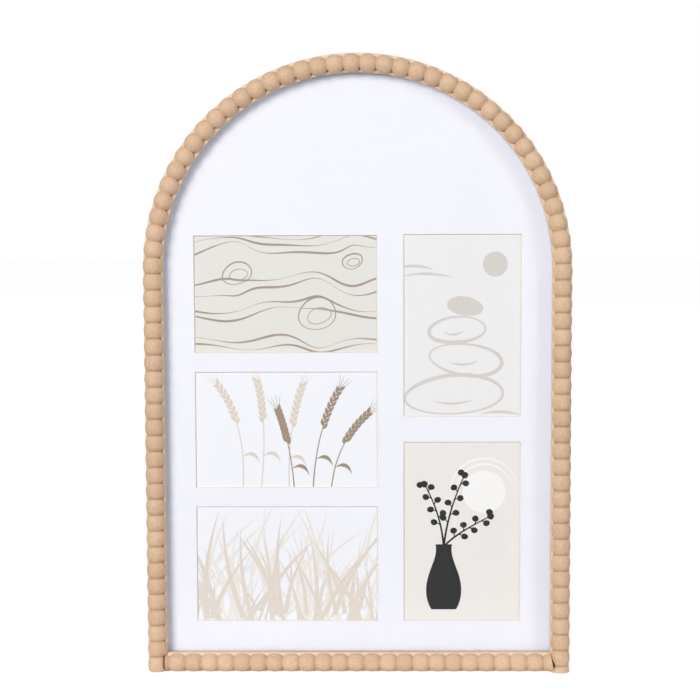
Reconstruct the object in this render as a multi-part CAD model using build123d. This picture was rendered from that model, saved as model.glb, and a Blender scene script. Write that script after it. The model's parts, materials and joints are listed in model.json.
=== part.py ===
from build123d import *
from math import ceil, cos, floor, pi, radians, sin
import os

# Arched collage photo frame, in millimetres. +Z is up, the front faces -Y, and the
# origin is at the foot of the frame, in the middle of its width and depth.

# Prints and mat
print_long = 152.0  # long side of a print
print_short = 102.0  # short side of a print
print_thickness = 0.25
mat_overlap = 6.0  # mat over each edge of a print, before the bevel
mat_margin = 22.65  # mat between the outer windows and the rails' sight edges
mat_thickness = 1.4
bevel_width = 0.8  # slope of a window's cut edge, seen from the front
column_gap = 19.7  # mat between the two columns of windows
left_row_gap = 14.3  # mat between the landscape windows
right_row_gap = 19.2  # mat between the portrait windows
window_rise = 26.1  # top of the windows above the arch's spring line
tape_length = 80.0
tape_width = 18.0  # half on the print, half on the mat
tape_thickness = 0.1
print_slack = 0.15  # free depth behind the prints and their tape

# Rails, glazing and backing
rail_width = 14.65  # rail seen from the front
lip_depth = 7.0  # rail in front of the glazing
rebate_width = 5.5  # step in the back of the rails that holds the panels
glazing_thickness = 2.0
backing_thickness = 3.0
panel_clearance = 1.0  # between the panels and the rebate, at the sides and the top
dowel_diameter = 5.0
dowel_length = 24.0
dowel_cover = 4.0  # wood between a dowel's end and the outer face of its leg

# Bobbin-bead trim
bead_diameter = 14.1
neck_diameter = 9.1  # the turning between two beads
bead_fullness = 2.7  # exponent of the bead's swell: 2 is a plain arc, more has squarer shoulders
arch_bead_pitch = 12.4  # along the middle of the bent trim
rail_bead_pitch = 12.56  # along the straight trim
bead_stops = (0, 0.1, 0.27, 0.5, 0.73, 0.9)  # sections of one bead, as shares of its pitch
least_step = 0.3  # least length between two sections
trim_overhang = 0.35  # bead crowns past the outer edge of the legs
trim_drop = 0.7  # middle of the trim's arch below the middle of the rail's arch
trim_foot_rise = 0.1  # bottom trim above the foot of the frame
trim_left_lap = 0.1  # bottom trim past the sight edge, at its left end
trim_right_lap = 2.1  # bottom trim past the sight edge, at its right end
trim_joint_gap = 0.4  # between the bottom trim and the beads of the legs

# Turn buttons
button_width = 8.0
button_reach = 14.0  # from the pivot to the tip
button_thickness = 1.0
button_clearance = 0.1  # under the button, and between it and the screw's head
pivot_clearance = 0.06  # round a pivot, on the radius
bottom_button_offset = 80.0  # each side of the middle of the bottom rail
low_button_height = 75.0
high_button_height = 215.0
arch_button_angle = 42.0  # each side of the top, in degrees

# Screws
shank_diameter = 2.8
shank_depth = 9.0  # into the rail
head_diameter = 6.0
head_height = 1.7
head_bevel = 0.6  # sloping edge of the head

# Hangers
strap_width = 7.0
strap_length = 26.0  # from the eye's axis to the lower end
strap_thickness = 1.0
strap_inset = 5.4  # middle of the strap from the rail's outer edge
strap_screw_drop = 20.0  # below the eye's axis
eye_drop = 8.0  # eye below the arch's spring line
ring_wire = 1.6
ring_side_gap = 0.2  # between the strap's edges and the ring's sides
ring_corner = 0.9  # bend of the wire's middle line at the ends of the bar
ring_side = 4.4  # straight side of the ring

# Wall bumpers
bumper_diameter = 9.0
bumper_thickness = 4.2
bumper_taper = 0.6  # on the radius, over the bumper's thickness
bumper_height = 12.0  # middle of a bumper above the foot

# Windows and outlines that follow from the prints
window_long = print_long - 2 * mat_overlap
window_short = print_short - 2 * mat_overlap
layout_width = window_long + column_gap + window_short
left_height = 3 * window_short + 2 * left_row_gap
right_height = 2 * window_long + right_row_gap
window_foot = rail_width + mat_margin
spring_height = window_foot + max(left_height, right_height) - window_rise
sight_radius = layout_width / 2 + mat_margin
outer_radius = sight_radius + rail_width
rebate_radius = sight_radius + rebate_width
land_width = rail_width - rebate_width
land_radius = outer_radius - land_width / 2

# Depths, from the front of the beads to the back of the bumpers
bead_radius = bead_diameter / 2
neck_radius = neck_diameter / 2
print_space = print_thickness + tape_thickness + print_slack
panel_stack = glazing_thickness + mat_thickness + print_space + backing_thickness
rail_depth = lip_depth + panel_stack
eye_radius = ring_wire / 2 + pivot_clearance
eye_outer = eye_radius + strap_thickness
back_depth = max(bumper_thickness, 2 * eye_outer)
rail_front = bead_radius - (bead_radius + rail_depth + back_depth) / 2
glazing_front = rail_front + lip_depth
mat_front = glazing_front + glazing_thickness
print_front = mat_front + mat_thickness
tape_front = print_front + print_thickness
backing_front = print_front + print_space
rail_back = backing_front + backing_thickness
button_front = rail_back + button_clearance
button_back = button_front + button_thickness
eye_depth = rail_back + eye_outer


def front_plane(depth):
    """Plane of the front view at a depth: local x is +X, local y is +Z."""
    return Plane(origin=(0, depth, 0), x_dir=(1, 0, 0), z_dir=(0, -1, 0))


def slab(outline, front, back):
    """Solid of a front-view outline between two depths."""
    return extrude(front_plane(front) * outline, amount=back - front, dir=(0, 1, 0))


def box_outline(left, right, foot, top):
    """Upright rectangle in the front view."""
    return Pos((left + right) / 2, (foot + top) / 2) * Rectangle(right - left, top - foot)


def arch_outline(half_width, foot):
    """Straight sides from the foot to the spring line, and a half-round top."""
    sides = box_outline(-half_width, half_width, foot, spring_height)
    return sides + Pos(0, spring_height) * Circle(half_width)


def rod(start, direction, length, radius):
    """Round bar from a point along a direction."""
    return extrude(Plane(origin=start, z_dir=direction) * Circle(radius), amount=length)


# Windows


def window_places():
    """Middle x, middle z, width and height of each window, by the print's name."""
    left_x = (window_long - layout_width) / 2
    right_x = (layout_width - window_short) / 2
    left_step = window_short + left_row_gap
    right_step = window_long + right_row_gap
    places = {}
    for row, name in enumerate(("bottom", "middle", "top")):
        middle = window_foot + window_short / 2 + row * left_step
        places["print_left_" + name] = (left_x, middle, window_long, window_short)
    for row, name in enumerate(("bottom", "top")):
        middle = window_foot + window_long / 2 + row * right_step
        places["print_right_" + name] = (right_x, middle, window_short, window_long)
    return places


def bevelled_window(x, z, width, height):
    """Cutter for one window: full size at the mat's front, narrower at its back."""
    front = Pos(x, z) * Rectangle(width, height)
    back = Pos(x, z) * Rectangle(width - 2 * bevel_width, height - 2 * bevel_width)
    return loft([front_plane(mat_front) * front, front_plane(print_front) * back], ruled=True)


def mat_board():
    """Mat with its bevelled windows."""
    mat = slab(panel_outline(), mat_front, print_front)
    return mat - [bevelled_window(*place) for place in window_places().values()]


def picture(x, z, width, height):
    """Print behind one window, under the mat all round."""
    sheet = Rectangle(width + 2 * mat_overlap, height + 2 * mat_overlap)
    return slab(Pos(x, z) * sheet, print_front, tape_front)


def tape(x, z, width, height):
    """Strip of tape on the print's outer edge, the one nearer to a leg."""
    side = 1 if x > 0 else -1
    edge = x + side * (width / 2 + mat_overlap)
    return slab(Pos(edge, z) * Rectangle(tape_width, tape_length), tape_front, tape_front + tape_thickness)


# Rails and panels


def panel_outline():
    """Outline of the glazing, mat and backing, which stand on the bottom rail's land."""
    return arch_outline(rebate_radius - panel_clearance, land_width)


def corner_dowels():
    """Dowels across the joints between the bottom rail and the legs."""
    middle = (rail_front + rail_back) / 2
    start = outer_radius - dowel_cover - dowel_length
    return [rod((side * start, middle, land_width / 2), (side, 0, 0), dowel_length, dowel_diameter / 2)
            for side in (-1, 1)]


def screw_places():
    """Front-view place of every screw in the rails."""
    pivots = [(x, z) for x, z, _ in button_places().values()]
    return pivots + [(side * strap_x, strap_screw_height) for side in (-1, 1)]


def rail_holes():
    """Screw holes and dowel holes of the rails."""
    holes = [rod((x, rail_back, z), (0, -1, 0), shank_depth, shank_diameter / 2) for x, z in screw_places()]
    return holes + corner_dowels()


def arch_rail():
    """Hoop with two legs, with its lip in front of the rebate."""
    outer = arch_outline(outer_radius, 0)
    lip = slab(outer - arch_outline(sight_radius, 0), rail_front, glazing_front)
    land = slab(outer - arch_outline(rebate_radius, 0), glazing_front, rail_back)
    return lip + land - rail_holes()


def bottom_rail():
    """Rail between the legs, its back scribed into their rebates."""
    lip = slab(box_outline(-sight_radius, sight_radius, 0, rail_width), rail_front, glazing_front)
    land = slab(box_outline(-rebate_radius, rebate_radius, 0, land_width), glazing_front, rail_back)
    return lip + land - rail_holes()


# Bobbin-bead trim: half-round turnings on the front face of the rails


def half_disc(radius):
    """Half-round section: the flat lies on local x, the round side on +y."""
    return make_face([CenterArc((0, 0), radius, 0, 180), Line((-radius, 0), (radius, 0))])


def bead_radius_at(place, pitch):
    """Radius of the turning at a place along the moulding: necks at each pitch, crowns between."""
    share = abs(2 * (place / pitch % 1) - 1)
    return neck_radius + (bead_radius - neck_radius) * (1 - share**bead_fullness)


def bead_trim(plane_at, start, end, pitch, growth=0.0):
    """Half-round bobbin moulding along a path, from start to end, grown on its radius."""
    first = floor(start / pitch)
    last = ceil(end / pitch)
    stops = [(bead + share) * pitch for bead in range(first, last) for share in bead_stops]
    stops = [stop for stop in stops if start + least_step < stop < end - least_step]
    places = [start] + stops + [end]
    return loft([plane_at(place) * half_disc(bead_radius_at(place, pitch) + growth) for place in places],
                ruled=True)


trim_x = outer_radius + trim_overhang - bead_radius
trim_arch_height = spring_height - trim_drop
trim_arch_length = pi * trim_x
arch_trim_length = 2 * trim_arch_height + trim_arch_length


def arch_path(place):
    """Section plane of the bent trim: up the left leg, over the arch and down the right leg."""
    beyond = place - trim_arch_height
    turn = min(max(beyond / trim_x, 0), pi)
    outward = Vector(-cos(turn), 0, sin(turn))
    along = Vector(sin(turn), 0, cos(turn))
    straight = min(beyond, 0) + max(beyond - trim_arch_length, 0)
    middle = Vector(0, rail_front, trim_arch_height) + outward * trim_x + along * straight
    return Plane(origin=middle, x_dir=outward, z_dir=along)


def rail_path(place):
    """Section plane of the bottom trim, from left to right."""
    middle = (place - sight_radius - trim_left_lap, rail_front, bead_radius + trim_foot_rise)
    return Plane(origin=middle, x_dir=(0, 0, 1), z_dir=(1, 0, 0))


def arch_bead_trim():
    """Trim of the legs and the arch."""
    return bead_trim(arch_path, 0, arch_trim_length, arch_bead_pitch)


def bottom_bead_trim():
    """Trim of the bottom rail, coped to the beads of the legs."""
    trim = bead_trim(rail_path, 0, 2 * sight_radius + trim_left_lap + trim_right_lap, rail_bead_pitch)
    foot_ends = ((0, rail_width), (arch_trim_length - rail_width, arch_trim_length))
    return trim - [bead_trim(arch_path, start, end, arch_bead_pitch, trim_joint_gap) for start, end in foot_ends]


# Screws, turn buttons, hangers and bumpers

strap_x = outer_radius - strap_inset
eye_height = spring_height - eye_drop
strap_screw_height = eye_height - strap_screw_drop


def screw(x, z, seat):
    """Screw in the back of a rail, with its pan head on a seat at that depth."""
    shank = rod((x, rail_back - shank_depth, z), (0, 1, 0), seat - rail_back + shank_depth, shank_diameter / 2)
    head = rod((x, seat, z), (0, 1, 0), head_height, head_diameter / 2)
    return shank + chamfer(head.edges().sort_by(Axis.Y)[-1], head_bevel)


def button_places():
    """Pivot x, pivot z and pointing direction, in degrees, of each turn button."""
    lean = radians(arch_button_angle)
    across = land_radius * sin(lean)
    up = spring_height + land_radius * cos(lean)
    return {
        "turn_button_bottom_left": (-bottom_button_offset, land_width / 2, 90),
        "turn_button_bottom_right": (bottom_button_offset, land_width / 2, 90),
        "turn_button_left_low": (-land_radius, low_button_height, 0),
        "turn_button_left_high": (-land_radius, high_button_height, 0),
        "turn_button_right_low": (land_radius, low_button_height, 180),
        "turn_button_right_high": (land_radius, high_button_height, 180),
        "turn_button_arch_left": (-across, up, arch_button_angle - 90),
        "turn_button_arch_right": (across, up, -90 - arch_button_angle),
    }


def turn_button(x, z, direction):
    """Flat button with round ends and a pivot hole, pointing over the backing board."""
    shift = (button_reach - button_width / 2) / 2
    plate = Pos(shift, 0) * SlotOverall(button_reach + button_width / 2, button_width)
    plate -= Circle(shank_diameter / 2 + pivot_clearance)
    return slab(Pos(x, z) * Rot(0, 0, direction) * plate, button_front, button_back)


def hanger_strap(side):
    """Strap with a rounded lower end, a screw hole and a rolled eye at its top."""
    x = side * strap_x
    foot = eye_height - strap_length + strap_width / 2
    outline = box_outline(x - strap_width / 2, x + strap_width / 2, foot, eye_height)
    outline += Pos(x, foot) * Circle(strap_width / 2)
    outline -= Pos(x, strap_screw_height) * Circle(shank_diameter / 2)
    eye_start = (x - strap_width / 2, eye_depth, eye_height)
    eye = rod(eye_start, (1, 0, 0), strap_width, eye_outer)
    hole = rod(eye_start, (1, 0, 0), strap_width, eye_radius)
    return slab(outline, rail_back, rail_back + strap_thickness) + eye - hole


def hanger_ring(side):
    """Wire ring hanging from the strap's eye: a bar, two sides and a round bow."""
    half_bar = strap_width / 2 + ring_side_gap + ring_wire / 2 - ring_corner
    half_width = half_bar + ring_corner
    bow_height = -ring_corner - ring_side
    bar = Line((-half_bar, 0), (half_bar, 0))
    right_corner = JernArc(bar @ 1, (1, 0), ring_corner, -90)
    right_side = Line(right_corner @ 1, (half_width, bow_height))
    bow = JernArc(right_side @ 1, (0, -1), half_width, -180)
    left_side = Line(bow @ 1, (-half_width, -ring_corner))
    left_corner = JernArc(left_side @ 1, (0, 1), ring_corner, -90)
    outline = Wire([bar, right_corner, right_side, bow, left_side, left_corner])
    path = Plane(origin=(side * strap_x, eye_depth, eye_height), x_dir=(1, 0, 0), z_dir=(0, -1, 0)) * outline
    return sweep(Plane(origin=path @ 0, z_dir=path % 0) * Circle(ring_wire / 2), path=path)


def wall_bumper(side):
    """Tapered pad at the foot of a leg."""
    seat = Plane(origin=(side * land_radius, rail_back, bumper_height), z_dir=(0, 1, 0))
    base = seat * Circle(bumper_diameter / 2)
    face = seat.offset(bumper_thickness) * Circle(bumper_diameter / 2 - bumper_taper)
    return loft([base, face], ruled=True)


# Nodes: one file for each, a list being a group of like pieces

button_screw_seat = button_back + button_clearance
hanger_screw_seat = rail_back + strap_thickness
nodes = {
    "arch_rail": arch_rail(),
    "bottom_rail": bottom_rail(),
    "corner_dowels": corner_dowels(),
    "arch_bead_trim": arch_bead_trim(),
    "bottom_bead_trim": bottom_bead_trim(),
    "glazing": slab(panel_outline(), glazing_front, mat_front),
    "mat_board": mat_board(),
    "backing_board": slab(panel_outline(), backing_front, rail_back),
    "print_tapes": [tape(*place) for place in window_places().values()],
    "turn_button_screws": [screw(x, z, button_screw_seat) for x, z, _ in button_places().values()],
    "hanger_screws": [screw(side * strap_x, strap_screw_height, hanger_screw_seat) for side in (-1, 1)],
}
for name, place in window_places().items():
    nodes[name] = picture(*place)
for name, place in button_places().items():
    nodes[name] = turn_button(*place)
for name, side in (("left", -1), ("right", 1)):
    nodes["hanger_strap_" + name] = hanger_strap(side)
    nodes["hanger_ring_" + name] = hanger_ring(side)
    nodes["wall_bumper_" + name] = wall_bumper(side)

os.makedirs("parts", exist_ok=True)
for name, shape in nodes.items():
    solid = Compound(children=shape) if isinstance(shape, list) else shape
    export_step(solid, os.path.join("parts", name + ".step"))
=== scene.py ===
import json
from math import cos, pi, radians, sin

import bmesh
import bpy
from mathutils import Matrix, Vector

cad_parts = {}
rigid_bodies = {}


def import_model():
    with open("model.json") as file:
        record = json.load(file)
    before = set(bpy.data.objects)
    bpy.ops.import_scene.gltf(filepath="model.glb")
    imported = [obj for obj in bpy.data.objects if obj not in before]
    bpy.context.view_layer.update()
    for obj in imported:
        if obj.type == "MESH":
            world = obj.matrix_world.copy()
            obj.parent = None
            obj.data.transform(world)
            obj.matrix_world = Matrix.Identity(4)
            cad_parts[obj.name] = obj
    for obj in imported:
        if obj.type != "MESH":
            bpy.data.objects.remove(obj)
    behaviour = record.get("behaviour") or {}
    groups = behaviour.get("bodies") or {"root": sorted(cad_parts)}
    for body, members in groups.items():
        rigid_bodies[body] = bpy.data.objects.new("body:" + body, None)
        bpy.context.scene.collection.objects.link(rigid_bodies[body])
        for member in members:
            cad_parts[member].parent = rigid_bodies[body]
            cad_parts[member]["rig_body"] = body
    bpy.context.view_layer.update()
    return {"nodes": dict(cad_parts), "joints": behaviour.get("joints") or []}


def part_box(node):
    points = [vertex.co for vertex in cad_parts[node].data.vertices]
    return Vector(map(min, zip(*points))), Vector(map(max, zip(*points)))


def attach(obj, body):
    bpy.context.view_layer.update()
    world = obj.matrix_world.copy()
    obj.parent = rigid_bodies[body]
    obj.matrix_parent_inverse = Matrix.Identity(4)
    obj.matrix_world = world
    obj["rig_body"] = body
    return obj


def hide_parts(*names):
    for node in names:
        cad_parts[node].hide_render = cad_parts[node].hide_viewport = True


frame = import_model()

# Arched collage photo frame. Sizes are in metres, +Z is up and the front faces -Y.

MM = 0.001

# Rails and trim: read from the frame where it has them
rail_low, rail_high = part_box("arch_rail")
trim_low, trim_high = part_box("arch_bead_trim")
outer_radius = rail_high.x
spring_height = rail_high.z - outer_radius
rail_front = rail_low.y
rail_back = rail_high.y
glazing_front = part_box("glazing")[0].y
mat_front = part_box("mat_board")[0].y
rail_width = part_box("bottom_rail")[1].z
rebate_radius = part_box("bottom_rail")[1].x
sight_radius = outer_radius - rail_width
rail_edge = 0.9 * MM  # rounding of the hoop's edges
bottom_rail_edge = 0.3 * MM
hoop_step = 4 * MM  # length of each straight bit of the hoop
bead_radius = rail_front - trim_low.y
neck_radius = 4.75 * MM
leg_neck_radius = 5.15 * MM
arch_neck_radius = 4.15 * MM
bead_fullness = 2.7
arch_bead_fullness = 2.3
arch_bulge = 0.55 * MM  # how far the bent trim swings out over the rail's shoulders
bead_spread = 1.055  # width of the legs' and the arch's beads, flattened a little by the gluing
arch_bead_lag = 2.0 * MM  # how far the arch's beads fall behind an even pitch
arch_bead_lag_length = 800 * MM
bead_wander = 0.012  # share by which a bead may be thinner than the rest
arch_bead_pitch = 12.383 * MM
rail_bead_pitch = 12.53 * MM
steps_per_bead = 18
trim_arch_drop = 0.5 * MM  # middle of the trim's arch below the middle of the rail's
trim_radius = trim_high.x - bead_radius * bead_spread
trim_leg = spring_height - trim_arch_drop
trim_length = 2 * trim_leg + pi * trim_radius
trim_foot_rise = 0.1 * MM
bottom_axis = bead_radius + trim_foot_rise  # height of the bottom trim's middle
first_bottom_groove = 1.5 * MM  # inside the left leg's edge
left_slice_steps = 4  # the bottom trim starts with a slice of a bead, let into the left leg's lowest one
trim_right_lap = 1.4 * MM  # at the middle of the bottom trim's end
right_end_lean = 0.19  # slant of that end, its top further in than its foot
right_end_waste = 2 * MM  # what the slant cuts off
trim_joint_gap = 0.4 * MM
left_joint_gap = 0.55 * MM
left_cope_height = 2 * rail_width
right_cope_height = 1.6 * rail_width
# Dark plugs of painted shadow in the gaps of the trims' joints
left_shadow_plug_radius = 6.3 * MM
right_shadow_plug_radius = 4.8 * MM
shadow_plug_hold = 0.3 * MM  # how far the plug of painted shadow reaches into the bottom trim
shadow_plug_reach = 1.7 * MM  # how far it reaches out of it, into the joint
leg_groove_shade = 0.4  # how far the grooves' wood is darkened with painted shade
arch_groove_shade = 0.1
lee_shade = 0.12  # how far the bottom beads' flanks away from the light are darkened

# Prints: what shows of each is the print less the mat's overlap and bevel
mat_overlap = 6 * MM
bevel_width = 0.8 * MM
ink_depth = 0.03 * MM
ink_step = 0.004 * MM  # between shapes that overlap

# Screws and hardware
head_radius = 3 * MM
head_height = 1.7 * MM
shank_radius = 1.4 * MM
tip_length = 1.5 * MM
recess_length = 3.4 * MM
recess_width = 0.8 * MM
recess_depth = 1 * MM
recess_taper = 0.5
plate_edge = 0.14 * MM
pad_edge = 0.9 * MM
weld_reach = 0.002 * MM  # corners of a node's mesh that are closer become one
flat_angle = radians(0.5)  # faces of a node's mesh that meet within it become one
sharp_angle = radians(40)  # edges past it are rounded


def srgb(red, green, blue):
    """Linear colour of an 8-bit screen colour."""
    shares = [channel / 255 for channel in (red, green, blue)]
    linear = [share / 12.92 if share <= 0.04045 else ((share + 0.055) / 1.055) ** 2.4 for share in shares]
    return (*linear, 1)


# Node trees


def set_inputs(node, inputs):
    """Links a node's inputs to sockets, or sets them to values."""
    for key, value in inputs.items():
        if isinstance(value, bpy.types.NodeSocket):
            node.id_data.links.new(value, node.inputs[key])
        else:
            node.inputs[key].default_value = value


def add_node(kind, inputs, tree=None, output=0, **settings):
    """Output of a new node, which goes into the given tree or into that of its linked inputs."""
    sources = [value for value in inputs.values() if isinstance(value, bpy.types.NodeSocket)]
    made = (tree or sources[0].id_data).nodes.new(kind)
    for name, value in settings.items():
        setattr(made, name, value)
    set_inputs(made, inputs)
    return made.outputs[output]


def maths(operation, *values):
    """Result of a maths node on sockets or numbers."""
    return add_node("ShaderNodeMath", dict(enumerate(values)), operation=operation)


def times(first, second):
    """Product of two sockets or numbers."""
    return maths("MULTIPLY", first, second)


def plus(first, second):
    """Sum of two sockets or numbers."""
    return maths("ADD", first, second)


def minus(first, second):
    """First socket or number less the second."""
    return maths("SUBTRACT", first, second)


def vector_maths(operation, *values):
    """Result of a vector maths node on sockets or vectors."""
    return add_node("ShaderNodeVectorMath", dict(enumerate(values)), operation=operation)


def combine(x, y, z, tree=None):
    """Vector of three sockets or numbers."""
    return add_node("ShaderNodeCombineXYZ", {0: x, 1: y, 2: z}, tree)


def axis_of(vector, number):
    """Part of a vector along an axis: 0 is X, 1 is Y and 2 is Z."""
    return add_node("ShaderNodeSeparateXYZ", {0: vector}, output=number)


def waves(place, across, along=None, detail=2.0):
    """Noise at a place, with so many waves for each metre across Z and along it."""
    scaled = vector_maths("MULTIPLY", place, (across, across, along or across))
    return add_node("ShaderNodeTexNoise", {"Vector": scaled, "Scale": 1.0, "Detail": detail}, output="Fac")


def remap(value, low, high, new_low=0.0, new_high=1.0):
    """Value stretched from one span to another, and kept inside it."""
    return add_node("ShaderNodeMapRange", {0: value, 1: low, 2: high, 3: new_low, 4: new_high})


def mixed(share, first, second, blend="MIX"):
    """Colour between two colours."""
    inputs = {"Factor": share, 6: first, 7: second}
    return add_node("ShaderNodeMix", inputs, output=2, data_type="RGBA", blend_type=blend)


def raised(height, depth, below=None):
    """Normal of a surface whose height, from 0 to 1, is worth a depth in metres."""
    inputs = {"Height": height, "Distance": depth, "Strength": 1.0}
    if below:
        inputs["Normal"] = below
    return add_node("ShaderNodeBump", inputs)


def new_finish(name):
    """New material, its tree and its main shader."""
    finish = bpy.data.materials.new(name)
    finish.use_nodes = True
    tree = finish.node_tree
    return finish, tree, tree.nodes["Principled BSDF"]


def coat(shader, colour, roughness, surface=None, gloss=0.5):
    """Gives a shader its colour, roughness and gloss, and a bumpy surface where there is one."""
    set_inputs(shader, {"Base Color": colour, "Roughness": roughness, "Specular IOR Level": gloss})
    if surface:
        set_inputs(shader, {"Normal": surface})


def object_place(tree):
    """Place on the piece, in metres."""
    return add_node("ShaderNodeTexCoord", {}, tree, "Object")


def attribute(tree, name, output="Fac"):
    """Value that the piece's mesh keeps under a name."""
    return add_node("ShaderNodeAttribute", {}, tree, output, attribute_name=name)


def kept_place(tree):
    """Place in the wood that a swept piece keeps: across, deep and along."""
    return attribute(tree, "wood_place", "Vector")


def lying_place(tree):
    """Place on a piece whose grain runs along X."""
    return add_node("ShaderNodeMapping", {"Vector": object_place(tree), "Rotation": (0, radians(90), 0)})


def place_behind_rails(tree):
    """Place on the piece, its depth counted from the rails' front."""
    return vector_maths("SUBTRACT", object_place(tree), (0, rail_front, 0))


# Finishes


def wood_colour(place, pale, mid, deep):
    """Fine straight-grained wood: soft growth bands, fibres and short pores.

    The place's z runs with the grain."""
    drift = waves(place, 95, 7, 3.0)
    layers = plus(times(axis_of(place, 0), 520), times(axis_of(place, 1), 900))
    bands = remap(maths("SINE", plus(layers, times(drift, 9))), -1, 1)
    fibres = waves(place, 1500, 60, 4.0)
    pores = remap(waves(place, 3600, 330, 1.0), 0.62, 0.72)
    colour = mixed(remap(fibres, 0.3, 0.7), pale, mid)
    colour = mixed(times(bands, 0.28), colour, mid)
    colour = mixed(times(pores, 0.4), colour, deep)
    return colour, fibres, pores


def rail_wood(name, place, depth, pale, mid):
    """Sanded wood of the rails; their sides are a little deeper and throw a cool light on the mat."""
    finish, tree, shader = new_finish(name)
    colour, fibres, pores = wood_colour(place(tree), pale, mid, srgb(190, 154, 120))
    side = remap(axis_of(depth(tree), 1), 0.5 * MM, 1.2 * MM)
    colour = mixed(times(side, 0.45), colour, srgb(206, 168, 132))
    thrown = add_node("ShaderNodeLightPath", {}, tree, "Is Diffuse Ray")
    colour = mixed(times(side, thrown), colour, srgb(190, 190, 200))
    surface = raised(minus(fibres, pores), 0.03 * MM)
    coat(shader, colour, remap(fibres, 0, 1, 0.55, 0.75), surface, 0.3)
    return finish


def bead_wood():
    """Turned wood of the beads, each with its own tone, flecks and faint tool rings.

    The grooves and the pockets at their inner ends are darkened with painted shade, and so are the bottom
    beads' flanks away from the light."""
    finish, tree, shader = new_finish("bead_wood")
    place = kept_place(tree)
    pale, mid, deep = srgb(225, 193, 163), srgb(214, 180, 148), srgb(174, 135, 102)
    colour, fibres, pores = wood_colour(place, pale, mid, deep)
    tone = attribute(tree, "bead_tone")
    shade = combine(*[remap(tone, 0, 1, low, 1.05) for low in (0.95, 0.93, 0.91)])
    colour = mixed(1.0, colour, shade, "MULTIPLY")
    flecks = waves(place, 900, 450)
    colour = mixed(remap(flecks, 0.55, 0.75, 0, 0.3), colour, srgb(243, 219, 192))
    colour = mixed(remap(flecks, 0.45, 0.25, 0, 0.3), colour, srgb(184, 143, 109))
    # Painted shade: the grooves, the bottom beads' lee flanks and the groove pockets darken towards browns
    brown = srgb(150, 108, 76)
    to_groove = attribute(tree, "to_groove")
    groove_shade = attribute(tree, "groove_shade")
    edge = remap(groove_shade, arch_groove_shade, leg_groove_shade, 0.94, 0.8)
    colour = mixed(times(remap(to_groove, edge, 1), groove_shade), colour, brown)
    lee = remap(attribute(tree, "lee_flank"), 0.35, 0.85, 0, lee_shade)
    colour = mixed(lee, colour, brown)
    # Painted shade in the pockets where the grooves meet the inner ledge
    corner = remap(attribute(tree, "across"), 0.78, 0.97)
    pocket = times(remap(to_groove, 0.82, 0.95), corner)
    pocket = times(pocket, remap(attribute(tree, "in_bend"), 0, 1, 0.45, 0.9))
    aside = axis_of(object_place(tree), 0)
    pocket = times(pocket, remap(aside, 0, 0.15, 1, 0.5))
    colour = mixed(pocket, colour, srgb(84, 60, 42))
    rings = raised(waves(place, 0, 2600), 0.05 * MM)
    surface = raised(minus(fibres, pores), 0.05 * MM, rings)
    coat(shader, colour, remap(fibres, 0, 1, 0.5, 0.7), surface, 0.35)
    return finish


def gap_shadow_finish(name, deep, dull):
    """Dark mottled finish in a joint of the trims, painted shadow for the gap."""
    finish, tree, shader = new_finish(name)
    gap_mottle = waves(object_place(tree), 1300, detail=3.0)
    coat(shader, mixed(gap_mottle, deep, dull), remap(gap_mottle, 0, 1, 0.6, 0.9), gloss=0.2)
    return finish


def mat_card():
    """Mat: a smooth white face and a cream core where the windows are cut."""
    finish, tree, shader = new_finish("mat_card")
    place = object_place(tree)
    core = maths("GREATER_THAN", axis_of(place, 1), mat_front + 0.05 * MM)
    tooth = waves(place, 1800, detail=3.0)
    face = mixed(tooth, srgb(244, 245, 254), srgb(247, 247, 255))
    cream = mixed(tooth, srgb(228, 221, 209), srgb(238, 232, 221))
    coat(shader, mixed(core, face, cream), 0.85, raised(tooth, 0.02 * MM), 0.15)
    return finish


def print_paper(name, colour):
    """Uncoated paper of a print, faintly mottled and streaked by the press."""
    finish, tree, shader = new_finish(name)
    place = object_place(tree)
    mottle = waves(place, 140, detail=3.0)
    streaks = waves(place, 900, 14, 1.0)
    colour = mixed(times(plus(mottle, streaks), 0.03), colour, srgb(206, 196, 186))
    coat(shader, colour, 0.8, raised(waves(place, 2600), 0.01 * MM), 0.2)
    return finish


def ink(name, colour, worn):
    """Printing ink, a little thinner in places."""
    finish, tree, shader = new_finish(name)
    thin = remap(waves(object_place(tree), 420, detail=5.0), 0.42, 0.75)
    coat(shader, mixed(times(thin, 0.5), colour, worn), remap(thin, 0, 1, 0.6, 0.8), gloss=0.2)
    return finish


def fibreboard():
    """Brown pressed fibreboard of the back."""
    finish, tree, shader = new_finish("fibreboard")
    place = object_place(tree)
    shreds = waves(place, 700, 420, 5.0)
    clouds = waves(place, 28, detail=3.0)
    specks = remap(waves(place, 2400, 1500, 1.0), 0.6, 0.72)
    colour = mixed(remap(shreds, 0.3, 0.7), srgb(146, 112, 80), srgb(174, 138, 102))
    colour = mixed(times(clouds, 0.35), colour, srgb(132, 98, 68))
    colour = mixed(times(specks, 0.5), colour, srgb(98, 70, 47))
    coat(shader, colour, remap(shreds, 0, 1, 0.55, 0.8), raised(shreds, 0.05 * MM))
    return finish


def zinc_plate():
    """Zinc-plated steel with fine rolling lines and duller patches."""
    finish, tree, shader = new_finish("zinc_plate")
    place = object_place(tree)
    lines = waves(place, 2600, 180, 3.0)
    patches = waves(place, 260, detail=3.0)
    colour = mixed(patches, srgb(172, 175, 180), srgb(198, 197, 193))
    roughness = remap(plus(lines, patches), 0.6, 1.4, 0.26, 0.48)
    coat(shader, colour, roughness, raised(lines, 0.006 * MM))
    set_inputs(shader, {"Metallic": 1.0})
    return finish


def pad_rubber():
    """Dark soft rubber of the wall bumpers."""
    finish, tree, shader = new_finish("pad_rubber")
    grit = waves(object_place(tree), 1800, detail=4.0)
    colour = mixed(grit, srgb(52, 51, 50), srgb(74, 72, 70))
    coat(shader, colour, remap(grit, 0, 1, 0.65, 0.9), raised(grit, 0.03 * MM))
    return finish


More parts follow.
